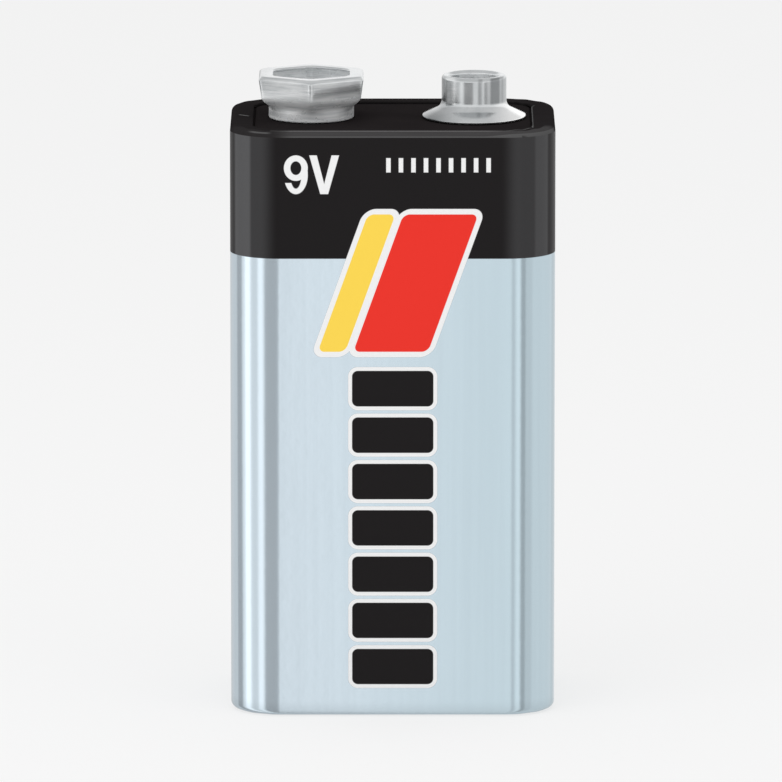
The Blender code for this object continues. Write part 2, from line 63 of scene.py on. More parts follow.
# Plates
PLATE_FIT = 0.1
PLATE_LEDGE = 1.0
PLATE_EDGE_ROUND = 0.14
PLATE_EDGE_STEPS = 5
PLATE_HOLE_SIDES = 48
BASE_CHAMFER = 0.1

# Snaps and rivets. The turning radius is the path's, wider than any turned piece
SNAP_SHEET = 0.25
TURNED_SIDES = 128
TURNING_RADIUS = 10.0

STUD_RADIUS = 2.48
STUD_FOLD_RADIUS = 0.05
STUD_TOP_LAND = 0.02
STUD_FOOT_RADIUS = 3.97
STUD_FOOT_RISE = 0.65
STUD_FOOT_FILLET = 0.5
STUD_FOOT_LAND = 0.4
STUD_FLOOR_FILLET = 0.2
STUD_FLOOR_STEPS = 4
STUD_STEPS = 8
# The fold's outer radius, and the bore that is left inside it
STUD_FOLD = SNAP_SHEET + STUD_FOLD_RADIUS
STUD_BORE = STUD_RADIUS - 2 * STUD_FOLD - STUD_TOP_LAND

SOCKET_FLATS = 8.0
SOCKET_RING_RADIUS = 3.26
SOCKET_RING_HEIGHT = 0.75
SOCKET_RING_EDGE = 0.12
SOCKET_FLOOR_EDGE = 0.3
SOCKET_NECK_HEIGHT = 1.15
SOCKET_NECK_STEPS = 14
SOCKET_WAIST = 0.08
SOCKET_BAND_TAPER = 0.18
SOCKET_LIP_WIDTH = 1.1
SOCKET_LIP_ROUND = 0.32
SOCKET_LIP_STEPS = 10
SOCKET_EDGE = 0.25
SOCKET_LIP_SOFTNESS = 0.9
SOCKET_FOLD_STEPS = 6
SOCKET_STEPS_PER_FLAT = 32

RIVET_HOLE = 0.91
RIVET_SHANK = 0.85
RIVET_BORE = 0.5
RIVET_BORE_ROUND = 0.15
RIVET_BORE_STEPS = 6
RIVET_HEAD_FIT = 0.2
RIVET_HEAD_HEIGHT = 0.35
RIVET_HEAD_SIDE = 0.05
RIVET_HEAD_STEPS = 8
RIVET_CLINCH_FLANGE = 0.55
RIVET_CLINCH_HEIGHT = 0.3

# Inks and the parts of the jacket that they cover
BLACK_INK = (0.0105, 0.009, 0.0095)
WHITE_INK = (0.9, 0.9, 0.9)
RED_INK = (0.86, 0.036, 0.024)
YELLOW_INK = (1.0, 0.70, 0.09)
BAND_DEPTH = 9.72
RIM_DEPTH = 0.41
SEAM_MARGIN = 0.3

# Slanted stripes: each one's place, half width and ink
STRIPES = ((-2.75, 1.05, YELLOW_INK), (1.75, 2.85, RED_INK))
STRIPE_CENTRE = 33.6
STRIPE_HALF_HEIGHT = 5.3
STRIPE_SLANT = 0.36
STRIPE_CORNER = 0.5
STRIPE_OUTLINE = 0.42

# Column of black blocks, from its lower end
BLOCK_COUNT = 7
BLOCK_PITCH = 3.6
BLOCKS_Z = 2.05
BLOCK_HALF_WIDTH = 3.1
BLOCK_HALF_GAP = 0.42
BLOCK_CORNER = 0.45
BLOCK_OUTLINE = 0.3

# Voltage mark. A figure's proportions are in units of its size
MARK_Z = 41.95
MARK_SIZE = 0.96
NINE_X = -7.35
NINE_NARROWING = 1.06
VOLTS_X = -5.2
FIGURE_HALF_HEIGHT = 1.55

# Row of ticks, from its left end
TICK_COUNT = 9
TICK_PITCH = 0.95
TICKS_X = -0.8
TICKS_Z = 42.68
TICK_HALF_WIDTH = 0.17
TICK_HALF_HEIGHT = 0.55

# Painted highlight, a lighter grey on the black ink round the upright corners: where each part
# starts and is full on the way round a corner
CORNER_HIGHLIGHT_TONE = (0.087, 0.087, 0.09)
SOFT_HIGHLIGHT = (0.1, 1.5)
STRONG_HIGHLIGHT = (2.1, 2.35)
HIGHLIGHT_END = (3.3, 3.5)
SOFT_HIGHLIGHT_SHARE = 0.4
STRONG_HIGHLIGHT_SHARE = 0.6
RIGHT_HIGHLIGHT_LOSS = 0.28

# The rim's matt ink, and painted highlights on its front bend and crimp, seen in plan as depths
# from the jacket's outline
RIM_INK = ((0.0145, 0.0125, 0.013), (0.023, 0.021, 0.0215))
RIM_FRONT_Y = -5.4
BEND_SHEEN_DEPTH = 0.82
PAINTED_BEND_SHEEN = (0.056, 0.054, 0.055)
BEND_GLINT_DEPTH = 0.66
BEND_GLINT_HALF_WIDTH = 0.13
PAINTED_BEND_GLINT = (0.19, 0.183, 0.186)
PAINTED_LINE_GLINT = (0.09, 0.089, 0.09)
LEFT_LINE_DEPTH = 0.22
LEFT_LINE_HALF_WIDTH = 0.07
LEFT_LINE_X = -10.1
LEFT_LINE_HALF_LENGTH = 0.7
# Start, end and half width of a straight mark, and in the table its tone: a notch in the painted
# bend sheen, and painted glints along the crimp
RIM_NOTCH = ((9.85, -8.35), (10.35, -8.2), 0.1)
RIM_GLINTS = (
    (((10.65, -5.9), (10.68, 3.9), 0.055), 0.11),
    (((10.68, 3.9), (10.9, 4.6), 0.055), 0.07),
    (((10.6, -6.3), (8.6, -7.75), 0.06), 0.11),
    (((-9.3, -7.7), (-7.7, -8.0), 0.05), 0.12),
    (((-11.75, 0.1), (-11.0, -0.55), 0.07), 0.2),
)

# Pale metallic lacquer, lighter at the left of the front and darker at the right as painted light
# and shade, and the sheet's bare face
LACQUER_LIT_LEFT = (0.675, 0.775, 0.85)
LACQUER_SHADED_RIGHT = (0.535, 0.65, 0.712)
LACQUER_LINES = (0.38, 0.45, 0.5)
LACQUER_FOOT_SHADE = (0.36, 0.43, 0.47)
LACQUER_REACH = 9.5
BARE_STEEL = ((0.5, 0.5, 0.51), (0.68, 0.68, 0.68))

# Nickel plate, bright and satin, the satin one lighter as painted fill light, and painted shade
# and highlights that its places lean to
NICKEL = ((0.46, 0.48, 0.49), (0.77, 0.78, 0.785))
SATIN_NICKEL_FILL = ((0.72, 0.74, 0.75), (0.96, 0.97, 0.975))
NICKEL_LIP_SHADE = (0.4, 0.42, 0.43)
NICKEL_LEFT_SHADE = (0.36, 0.375, 0.385)
NICKEL_PAINTED_DARK = (0.2, 0.21, 0.215)
NICKEL_PAINTED_HIGHLIGHT = (0.88, 0.88, 0.88)
# Painted dark reflection streaks up the stud's wall: place across it, half width and strength
STUD_DARK_REFLECTIONS = ((1.6, 0.36, 0.85), (0.46, 0.16, 0.5), (2.15, 0.12, 0.5), (-2.35, 0.2, 0.6))

# Table and light. The table's radius is in metres
FLOOR_RADIUS = 2.5
FLOOR_SIDES = 96
FLOOR_DROP = 0.05
FLOOR_ALBEDO = 0.8
FLOOR_GLOW = 0.685
FLOOR_SHADE = 0.25
BACKGROUND = 0.94
WORLD_LIGHT = 0.75
# Lamps: name, azimuth and elevation in degrees, then distance, width and height in metres,
# and radiance. Azimuth is 0 in front and 90 at the right
LAMPS = (
    ("key_left", -42, 28, 0.35, 0.3, 0.3, 1.05),
    ("fill_right", 50, 35, 0.5, 0.4, 0.4, 0.4),
    ("top_soft", 0, 80, 0.5, 0.4, 0.4, 0.6),
)
# What metal and lacquer mirror: the room's level, then strips as azimuth, half width, radiance
MIRRORED_LEVEL = 0.95
MIRRORED_STRIPS = (
    (-150, 30, 0.66),
    (-109, 10, 0.33),
    (-81, 8, 1.5),
    (-61, 8, 0.8),
    (-46, 6, 1.3),
    (-18.5, 17.5, 0.37),
    (5, 9, 1.07),
    (18, 3, 0.7),
    (30, 5, 1.2),
    (42, 6, 0.45),
    (57, 8, 0.8),
    (150, 14, 0.8),
)
STRIP_SOFTNESS = 2.5
# Over the table, each from its elevation upwards: a ring light and the ceiling
ROOM_BANDS = ((2, 1.18), (24, 0.8))
BAND_SOFTNESS = 4


def arc(centre, radius, start, end, steps):
    """Points of an arc in a section, angles in degrees."""
    angles = [radians(start + (end - start) * i / steps) for i in range(steps + 1)]
    return [(centre[0] + radius * cos(a), centre[1] + radius * sin(a)) for a in angles]


def toward(start, end, distance):
    """The point at a distance from start on the way to end."""
    share = distance / hypot(end[0] - start[0], end[1] - start[1])
    return start[0] + (end[0] - start[0]) * share, start[1] + (end[1] - start[1]) * share


def fillet(start, corner, end, steps):
    """A soft bend from start to end that leans on the corner point."""
    points = []
    for i in range(steps + 1):
        t = i / steps
        weights = ((1 - t) ** 2, 2 * t * (1 - t), t**2)
        weighted = list(zip(weights, (start, corner, end)))
        points.append(tuple(sum(w * p[axis] for w, p in weighted) for axis in (0, 1)))
    return points


def standing(node):
    """Where a node's axis meets its base, and its height, in millimetres."""
    low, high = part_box(node)
    base = Vector(((low.x + high.x) / 2, (low.y + high.y) / 2, low.z)) / MM
    return base, (high.z - low.z) / MM


# Node trees


class Value:
    """An output socket of a node tree. Arithmetic on it adds the tree's Math nodes."""

    def __init__(self, tree, socket):
        self.tree = tree
        self.socket = socket

    def math(self, operation, *others):
        inputs = dict(enumerate((self, *others)))
        return self.tree.add("ShaderNodeMath", {"operation": operation}, inputs)

    def __add__(self, other):
        return self.math("ADD", other)

    __radd__ = __add__

    def __sub__(self, other):
        return self.math("SUBTRACT", other)

    def __rsub__(self, other):
        return self.tree.number(other).math("SUBTRACT", self)

    def __mul__(self, other):
        return self.math("MULTIPLY", other)

    __rmul__ = __mul__

    def __truediv__(self, other):
        return self.math("DIVIDE", other)

    def __rtruediv__(self, other):
        return self.tree.number(other).math("DIVIDE", self)

    def __neg__(self):
        return self.math("MULTIPLY", -1.0)

    def __abs__(self):
        return self.math("ABSOLUTE")

    def low(self, other):
        return self.math("MINIMUM", other)

    def high(self, other):
        return self.math("MAXIMUM", other)

    def parts(self):
        """The X, Y and Z of a vector."""
        node = self.tree.node("ShaderNodeSeparateXYZ", {}, {"Vector": self})
        return [Value(self.tree, out) for out in node.outputs]


class Tree:
    """A node tree that is being written. add() makes any node and gives one of its outputs."""

    def __init__(self, tree):
        self.tree = tree

    def node(self, kind, settings=None, inputs=None):
        """Any node: its settings come first, then its sockets' values and links."""
        made = self.tree.nodes.new(kind)
        for name, value in (settings or {}).items():
            setattr(made, name, value)
        for key, value in (inputs or {}).items():
            if isinstance(value, Value):
                self.tree.links.new(value.socket, made.inputs[key])
            else:
                made.inputs[key].default_value = value
        return made

    def add(self, kind, settings=None, inputs=None, output=0):
        return Value(self, self.node(kind, settings, inputs).outputs[output])

    def number(self, value):
        return self.add("ShaderNodeMath", {"operation": "ADD"}, {0: float(value), 1: 0.0})

    def mix(self, factor, first, second):
        """Two colours mixed by a factor."""
        inputs = {
            0: factor,
            6: first if isinstance(first, Value) else (*first, 1.0),
            7: second if isinstance(second, Value) else (*second, 1.0),
        }
        return self.add("ShaderNodeMix", {"data_type": "RGBA"}, inputs, 2)

    def point(self):
        """Object coordinates in millimetres."""
        raw = self.add("ShaderNodeTexCoord", output=3)
        scaled = {0: raw, 3: 1 / MM}
        return self.add("ShaderNodeVectorMath", {"operation": "SCALE"}, scaled)

    def stretched(self, point, scale):
        """A point scaled by a number for each axis."""
        inputs = {0: point, 1: scale}
        return self.add("ShaderNodeVectorMath", {"operation": "MULTIPLY"}, inputs)

    def noise(self, point, scale, detail=3.0, roughness=0.5):
        inputs = {"Vector": point, "Scale": scale, "Detail": detail, "Roughness": roughness}
        return self.add("ShaderNodeTexNoise", {}, inputs)

    def step(self, value, low, high):
        """0 below low, 1 above high and smooth between."""
        inputs = {"Value": value, 1: low, 2: high}
        settings = {"interpolation_type": "SMOOTHSTEP"}
        return self.add("ShaderNodeMapRange", settings, inputs)

    def bump(self, height, distance):
        """The height is in units of distance, which is in metres."""
        return self.add("ShaderNodeBump", {}, {"Height": height, "Distance": distance})

    def finish(self, **sockets):
        """A Principled shader. A number sits on its own socket and a value is linked to it."""
        named = {}
        for key, value in sockets.items():
            socket = key.replace("_", " ").title().replace("Ior", "IOR")
            is_colour = isinstance(value, tuple) and len(value) == 3
            named[socket] = (*value, 1.0) if is_colour else value
        return self.add("ShaderNodeBsdfPrincipled", {}, named)


def new_material(name, paint):
    """A material whose surface is the shader that paint gives."""
    made = bpy.data.materials.new(name)
    made.use_nodes = True
    made.node_tree.nodes.clear()
    tree = Tree(made.node_tree)
    tree.node("ShaderNodeOutputMaterial", {}, {"Surface": paint(tree)})
    return made


# Shapes drawn as distances in millimetres, negative inside


def hard(tree, distance, blur=0.025):
    """1 inside a shape and 0 outside it."""
    return 1 - tree.step(distance, -blur, blur)


def length(across, along):
    """Length of a flat vector."""
    return (across * across + along * along).math("SQRT")


def rounded_box(x, z, centre, half, corner):
    """Distance from a box with round corners."""
    across = abs(x - centre[0]) - (half[0] - corner)
    along = abs(z - centre[1]) - (half[1] - corner)
    outside = length(across.high(0.0), along.high(0.0))
    return outside + across.high(along).low(0.0) - corner


def depth_in_plan(x, y):
    """How far a point lies inside the jacket's plan outline."""
    half = (JACKET_WIDTH / 2, JACKET_DEPTH / 2)
    return -rounded_box(x, y, (0, 0), half, CORNER_RADIUS)


def ellipse(x, z, centre, radii):
    """Rough distance from an ellipse."""
    reach = length((x - centre[0]) / radii[0], (z - centre[1]) / radii[1])
    return (reach - 1.0) * min(radii)


def repeated(value, start, pitch, count):
    """Distance from the middle of the nearest of some equal cells, and from their whole row."""
    cell = (value - start) / pitch
    local = (cell - cell.math("FLOOR") - 0.5) * pitch
    half_row = count * pitch / 2
    return local, abs(value - (start + half_row)) - half_row


def figure_nine(x, z, size):
    """Distance from a plain figure nine, one unit of size being half its width."""
    bowl = ellipse(x, z, (0, 0.53 * size), (size, 1.02 * size))
    counter = ellipse(x, z, (0, 0.53 * size), (0.46 * size, 0.55 * size))
    sweep = ellipse(x, z, (0, 0), (size, FIGURE_HALF_HEIGHT * size))
    hollow = ellipse(x, z, (0, 0), (0.47 * size, 1.12 * size))
    tail = sweep.high(-hollow).high((-x).low(z + 0.66 * size))
    return bowl.low(tail).high(-counter)


def letter_v(x, z, size):
    """Distance from a plain upright V of the same height."""
    side = abs(x)
    height = z + FIGURE_HALF_HEIGHT * size
    outer = side - (height * 0.28 + 0.31 * size)
    inner = (height - 0.8 * size) * 0.255 - side
    return outer.high(inner).high(abs(z) - FIGURE_HALF_HEIGHT * size)


def straight_mark(x, y, start, end, half_width):
    """Distance from a straight mark seen in plan."""
    along = Vector(end) - Vector(start)
    half_length = along.length / 2
    along.normalize()
    off_x = x - start[0]
    off_y = y - start[1]
    forward = abs(off_x * along.x + off_y * along.y - half_length) - half_length
    sideways = abs(off_y * along.x - off_x * along.y) - half_width
    return forward.high(sideways)


# Finishes


def corner_highlight(tree, x):
    """Where a painted highlight lightens the black ink round the upright corners, less at the
    right.
    """
    reach = abs(x) - (JACKET_WIDTH / 2 - CORNER_RADIUS)
    right = tree.step(x, -1.0, 1.0)
    soft = SOFT_HIGHLIGHT_SHARE * tree.step(reach + 0.5 * right, *SOFT_HIGHLIGHT)
    strong_share = STRONG_HIGHLIGHT_SHARE - RIGHT_HIGHLIGHT_LOSS * right
    strong = strong_share * tree.step(reach, *STRONG_HIGHLIGHT)
    return (soft + strong) * (1 - tree.step(reach + 0.2 * right, *HIGHLIGHT_END))


def printed(tree, x, y, z):
    """The jacket's print: the ink's colour, and where it covers the pale lacquer."""
    front = hard(tree, y)
    band = hard(tree, (JACKET_HEIGHT - BAND_DEPTH) - z)
    seam = hard(tree, abs(x - SEAM_X) - SEAM_MARGIN) * (1 - front)
    # The black ink carries a painted highlight round the upright corners
    colour = tree.mix(corner_highlight(tree, x), BLACK_INK, CORNER_HIGHLIGHT_TONE)
    covered = band * (1 - seam)
    layers = []

    slant = x - (z - STRIPE_CENTRE) * STRIPE_SLANT
    for centre, half_width, ink in STRIPES:
        half = (half_width, STRIPE_HALF_HEIGHT)
        stripe = rounded_box(slant, z, (centre, STRIPE_CENTRE), half, STRIPE_CORNER)
        layers += [(WHITE_INK, stripe - STRIPE_OUTLINE), (ink, stripe)]

    local, column = repeated(z, BLOCKS_Z, BLOCK_PITCH, BLOCK_COUNT)
    half = (BLOCK_HALF_WIDTH, BLOCK_PITCH / 2 - BLOCK_HALF_GAP)
    rung = rounded_box(x, local, (0, 0), half, BLOCK_CORNER)
    layers += [(WHITE_INK, (rung - BLOCK_OUTLINE).high(column)), (BLACK_INK, rung.high(column))]

    nine = figure_nine((x - NINE_X) * NINE_NARROWING, z - MARK_Z, MARK_SIZE)
    volts = letter_v(x - VOLTS_X, z - MARK_Z, MARK_SIZE)
    local, row = repeated(x, TICKS_X, TICK_PITCH, TICK_COUNT)
    ticks = (abs(local) - TICK_HALF_WIDTH).high(abs(z - TICKS_Z) - TICK_HALF_HEIGHT).high(row)
    layers += [(WHITE_INK, nine.low(volts).low(ticks))]

    for ink, distance in layers:
        mask = hard(tree, distance) * front
        colour = tree.mix(mask, colour, ink)
        covered = covered.high(mask)
    return colour, covered


def rim_colour(tree, point):
    """The crimp's matt ink, with a painted sheen and painted glint lines on the front bend, and
    painted glints along the crimp's edges.
    """
    x, y, z = point.parts()
    depth = depth_in_plan(x, y)
    streak = tree.noise(tree.stretched(point, (0.25, 3.0, 6.0)), 1.0, 3.0)
    colour = tree.mix(streak, *RIM_INK)
    # Where the bend's painted highlights are full; they fade at the left
    rubbed_and_lit = tree.step(x, -9.2, -7.4)
    right = tree.step(x, 6.8, 9.4)
    behind = y - RIM_FRONT_Y
    bend = hard(tree, depth - BEND_SHEEN_DEPTH, 0.06) * hard(tree, behind, 0.8)
    bend = bend * (0.2 + 0.8 * rubbed_and_lit) * (1 - hard(tree, straight_mark(x, y, *RIM_NOTCH), 0.05))
    # Painted sheen on the front bend, then painted glint lines on it
    colour = tree.mix(bend * (0.7 + 0.5 * streak), colour, PAINTED_BEND_SHEEN)
    bend_glint = hard(tree, abs(depth - BEND_GLINT_DEPTH) - BEND_GLINT_HALF_WIDTH, 0.05) * (1 - right)
    colour = tree.mix(bend * bend_glint * rubbed_and_lit, colour, PAINTED_BEND_GLINT)
    foot = hard(tree, z - (JACKET_HEIGHT - RIM_DEPTH) - 0.1 - 0.16 * right, 0.02)
    colour = tree.mix(bend * foot * rubbed_and_lit, colour, PAINTED_LINE_GLINT)
    line = hard(tree, abs(depth - LEFT_LINE_DEPTH) - LEFT_LINE_HALF_WIDTH, 0.03)
    line = line * hard(tree, abs(x - LEFT_LINE_X) - LEFT_LINE_HALF_LENGTH, 0.3)
    colour = tree.mix(line * hard(tree, behind), colour, PAINTED_LINE_GLINT)
    # Painted glints along the crimp's cut edges and folds
    for mark, tone in RIM_GLINTS:
        glint = hard(tree, straight_mark(x, y, *mark), 0.04)
        colour = tree.mix(glint, colour, (tone,) * 3)
    return colour


def paint_jacket(tree):
    """Inks over a pale metallic lacquer, a matt rim that carries painted highlights, and the
    sheet's bare inner face.
    """
    point = tree.point()
    x, y, z = point.parts()
    ink, covered = printed(tree, x, y, z)
    lacquered = tree.add("ShaderNodeAttribute", {"attribute_name": "lacquered"}, output=2)
    peel = tree.noise(point, 1.6, 2.0)
    handling = tree.noise(tree.stretched(point, (1.0, 1.0, 0.3)), 0.5, 3.0)
    brushed = tree.noise(tree.stretched(point, (6.0, 6.0, 0.5)), 2.0, 4.0)
    relief = tree.bump(peel, 0.003 * MM)
    inks = tree.finish(
        base_color=ink,
        roughness=0.3 + 0.1 * handling,
        specular_ior_level=0.1,
        normal=relief,
    )
    # Painted light and shade: the lacquer is lighter at the left and darker at the right
    across = tree.step(x, -LACQUER_REACH, LACQUER_REACH)
    blue = tree.mix(across, LACQUER_LIT_LEFT, LACQUER_SHADED_RIGHT)
    rolled = tree.noise(tree.stretched(point, (1.3, 1.3, 0.02)), 1.0, 4.0, 0.6)
    blue = tree.mix(tree.step(rolled, 0.3, 0.7) * 0.09, blue, LACQUER_LINES)
    # Painted shade, darker towards the foot
    blue = tree.mix((1 - tree.step(z, 0.1, 1.3)) * 0.35, blue, LACQUER_FOOT_SHADE)
    sheet = tree.finish(
        base_color=tree.mix(lacquered, tree.mix(brushed, *BARE_STEEL), blue),
        metallic=1 - 0.25 * lacquered,
        roughness=0.12 + 0.05 * handling,
        normal=relief,
    )
    # The rim's matt finish, which carries the painted highlights
    rubbed_and_lit = tree.finish(
        base_color=rim_colour(tree, point),
        roughness=0.6,
        specular_ior_level=0.0,
        normal=relief,
    )
    rim = hard(tree, (JACKET_HEIGHT - RIM_DEPTH) - z)
    wall = tree.add("ShaderNodeMixShader", {}, {0: covered * lacquered, 1: sheet, 2: inks})
    return tree.add("ShaderNodeMixShader", {}, {0: rim * lacquered, 1: wall, 2: rubbed_and_lit})


def paint_plastic(tree):
    """Matt black moulded plastic."""
    point = tree.point()
    grain = tree.noise(point, 9.0, 3.0)
    smudge = tree.noise(point, 0.35, 3.0)
    return tree.finish(
        base_color=tree.mix(smudge, (0.0145, 0.0125, 0.013), (0.021, 0.018, 0.0185)),
        roughness=0.5 + 0.2 * smudge,
        specular_ior_level=0.0,
        normal=tree.bump(grain, 0.01 * MM),
    )


def paint_nickel(tree):
    """Bright nickel plate over drawn sheet. It is satin, with a lighter base as painted fill
    light, low on the socket and inside it, in patches in the stud's bore, and in one painted
    highlight streak up the stud's wall. Painted shade darkens the socket's lip and left, painted
    dark reflections the stud foot's left and streaks up its wall, and a painted highlight
    lightens the stud foot's right."""
    point = tree.point()
    x, y, z = point.parts()
    on_socket = hard(tree, x)
    on_stud = 1 - on_socket
    cloud = tree.noise(point, 0.9, 3.0)
    drawn = tree.noise(tree.stretched(point, (0.5, 0.5, 7.0)), 1.0, 3.0)
    lines = tree.step(drawn, 0.35, 0.65)

    socket, socket_height = standing("negative_socket")
    neck_top = socket.z + SOCKET_RING_HEIGHT + SOCKET_NECK_HEIGHT
    over_lip = z - socket.z - socket_height
    to_side = abs(x - socket.x)
    to_flank = 0.5 * to_side + sin(pi / 3) * abs(y - socket.y)
    inner_face = SOCKET_FLATS / 2 - SNAP_SHEET / 2 - to_side.high(to_flank)
    inside = tree.step(inner_face, 0.02, 0.1) * hard(tree, over_lip + SNAP_SHEET)
    low = 1 - tree.step(z, neck_top - 0.3, neck_top + 0.9)

    stud = standing("positive_stud")[0]
    off_x = x - stud.x
    radius = length(off_x, y - stud.y)
    bore = hard(tree, radius - (STUD_RADIUS - 0.6)) * on_stud
    bore = bore * (0.15 + 0.5 * tree.step(cloud, 0.42, 0.58))
    risen = tree.step(z, stud.z + STUD_FOOT_RISE + STUD_FOOT_FILLET, stud.z + 1.4)
    wall = risen * hard(tree, (STUD_RADIUS - 0.15) - radius)
    # A painted highlight streak up the stud's wall
    highlight_streak = hard(tree, abs(off_x + 1.78) - 0.36, 0.2) * hard(tree, y) * wall * 0.5
    # Satin with a lighter base colour: painted fill light in the neck, inside the socket and in
    # the bore
    satin_and_fill = (low.high(inside) * on_socket).high(bore).high(highlight_streak)

    plate = tree.mix(0.6 * cloud + 0.4 * lines * on_socket, *NICKEL)
    # Painted shade on the top of the socket's lip
    lip = tree.step(over_lip, -0.12, -0.02) * on_socket
    plate = tree.mix(lip * 0.4, plate, NICKEL_LIP_SHADE)
    # Painted shade, darker on the socket's left
    socket_left_shade = 1 - tree.step(x - socket.x, -4.6, -2.4)
    plate = tree.mix(socket_left_shade * 0.6, plate, NICKEL_LEFT_SHADE)
    foot = (1 - risen) * on_stud
    # Painted dark reflection on the stud foot's left, painted highlight on its right
    plate = tree.mix(foot * (1 - tree.step(off_x, -3.9, -0.8)), plate, NICKEL_PAINTED_DARK)
    plate = tree.mix(foot * tree.step(off_x, 0.6, 3.4), plate, NICKEL_PAINTED_HIGHLIGHT)
    # Painted dark reflection streaks up the stud's wall
    for offset, half_width, share in STUD_DARK_REFLECTIONS:
        streak = hard(tree, abs(off_x - offset) - half_width, 0.12) * wall
        plate = tree.mix(streak * share, plate, NICKEL_PAINTED_DARK)
    return tree.finish(
        base_color=tree.mix(satin_and_fill, plate, tree.mix(lines, *SATIN_NICKEL_FILL)),
        metallic=0.9 - 0.65 * satin_and_fill,
        roughness=0.13 + 0.1 * cloud + 0.1 * satin_and_fill,
        normal=tree.bump(drawn, 0.002 * MM),
    )


def metal_paint(dark, light, roughness):
    """A worn sheet metal whose colour and gloss change a little over the surface."""

    def paint(tree):
        point = tree.point()
        cloud = tree.noise(point, 0.8, 4.0)
        rolled = tree.noise(tree.stretched(point, (0.4, 7.0, 7.0)), 1.5, 4.0)
        return tree.finish(
            base_color=tree.mix(cloud, dark, light),
            metallic=1.0,
            roughness=roughness + 0.12 * rolled,
            normal=tree.bump(rolled, 0.005 * MM),
        )

    return paint


def grainy_paint(dark, light, scale, roughness, relief):
    """A dull pressed, moulded or fibrous stuff with a grain."""

    def paint(tree):
        point = tree.point()
        grain = tree.noise(point, scale, 5.0, 0.6)
        cloud = tree.noise(point, scale / 9, 2.0)
        return tree.finish(
            base_color=tree.mix(grain * 0.6 + cloud * 0.4, dark, light),
            roughness=roughness + 0.1 * cloud,
            normal=tree.bump(grain, relief * MM),
        )

    return paint


# Metal pieces inside, by kind: material, dark colour, light colour and roughness
SHEET_METALS = {
    "strip": ("nickel_strip", (0.6, 0.59, 0.56), (0.7, 0.69, 0.66), 0.22),
    "can": ("plated_can", (0.66, 0.66, 0.65), (0.76, 0.76, 0.75), 0.18),
    "collector": ("brass", (0.62, 0.45, 0.2), (0.78, 0.6, 0.3), 0.25),
}
# Grainy pieces inside, by kind: material, dark colour, light colour, grain's scale, roughness
# and relief
GRAINY_STUFFS = {
    "card": ("fibre_card", (0.33, 0.25, 0.16), (0.5, 0.4, 0.27), 3.0, 0.8, 0.02),
    "seal": ("nylon", (0.7, 0.69, 0.62), (0.78, 0.77, 0.71), 5.0, 0.45, 0.004),
    "cathode": ("manganese_mix", (0.02, 0.02, 0.022), (0.05, 0.05, 0.055), 6.0, 0.75, 0.03),
    "separator": ("separator_paper", (0.78, 0.76, 0.7), (0.88, 0.86, 0.81), 8.0, 0.85, 0.01),
    "anode": ("zinc_gel", (0.25, 0.27, 0.3), (0.45, 0.47, 0.5), 10.0, 0.4, 0.03),
    "sleeve": ("sleeve_film", (0.05, 0.26, 0.17), (0.08, 0.33, 0.22), 2.0, 0.25, 0.003),
}


# Geometry


def finish_mesh(mesh, smooth_angle):
    """Smooth shading, with a hard edge where two faces meet at more than an angle."""
    mesh.shade_smooth()
    mesh.set_sharp_from_angle(angle=radians(smooth_angle))


def dress(name, mesh, material, slot, *nodes):
    """A finished mesh becomes a piece that rides on the one body and stands for CAD nodes."""
    mesh.name = name
    mesh.materials.clear()
    mesh.materials.append(material)
    obj = bpy.data.objects.new(name, mesh)
    bpy.context.scene.collection.objects.link(obj)
    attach(obj, "root")
    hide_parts(*nodes)


def sweep_tree(name, sizes, path):
    """Geometry Nodes: sweeps a closed section along the closed path that path() draws."""
    group = bpy.data.node_groups.new(name, "GeometryNodeTree")
    kinds = {"Section": "Geometry", **sizes, "Material": "Material"}
    for label, kind in kinds.items():
        group.interface.new_socket(label, in_out="INPUT", socket_type=f"NodeSocket{kind}")
    group.interface.new_socket("Piece", in_out="OUTPUT", socket_type="NodeSocketGeometry")
    tree = Tree(group)
    given = {s.name: Value(tree, s) for s in tree.node("NodeGroupInput").outputs}
    section = tree.add("GeometryNodeMeshToCurve", {}, {"Mesh": given["Section"]})
    sweep = {"Curve": path(tree, given), "Profile Curve": section}
    swept_mesh = tree.add("GeometryNodeCurveToMesh", {}, sweep)
    real = tree.add("GeometryNodeRealizeInstances", {}, {"Geometry": swept_mesh})
    dressed = {"Geometry": real, "Material": given["Material"]}
    tree.node("NodeGroupOutput", {}, {"Piece": tree.add("GeometryNodeSetMaterial", {}, dressed)})
    return group


def rounded_outline(tree, given):
    """A rectangle with round corners, which the jacket follows."""
    sides = {"Width": given["Width"], "Height": given["Depth"]}
    outline = tree.add("GeometryNodeCurvePrimitiveQuadrilateral", {}, sides)
    corners = {"Curve": outline, "Count": given["Corner Steps"], "Radius": given["Corner Radius"]}
    return tree.add("GeometryNodeFilletCurve", {"mode": "POLY"}, corners)


def circle(tree, given):
    """The path of a turned piece."""
    round_path = {"Resolution": given["Sides"], "Radius": given["Radius"]}
    return tree.add("GeometryNodeCurvePrimitiveCircle", {"mode": "RADIUS"}, round_path)


def swept(group, section, material, **sizes):
    """Runs a sweep tree on a closed section of (inset, height) points in millimetres."""
    mesh = bpy.data.meshes.new("section")
    count = len(section)
    edges = [(i, (i + 1) % count) for i in range(count)]
    # The swept section's X points out of the path and its Y down
    mesh.from_pydata([(-inset * MM, -z * MM, 0) for inset, z in reversed(section)], edges, [])
    holder = bpy.data.objects.new("section", mesh)
    bpy.context.scene.collection.objects.link(holder)
    modifier = holder.modifiers.new("sweep", "NODES")
    modifier.node_group = group
    values = {key.replace("_", " ").title(): value for key, value in sizes.items()}
    values["Material"] = material
    for item in group.interface.items_tree:
        if item.name in values:
            modifier[item.identifier] = values[item.name]
    evaluated = holder.evaluated_get(bpy.context.evaluated_depsgraph_get())
    result = bpy.data.meshes.new_from_object(evaluated)
    bpy.data.objects.remove(holder)
    return result


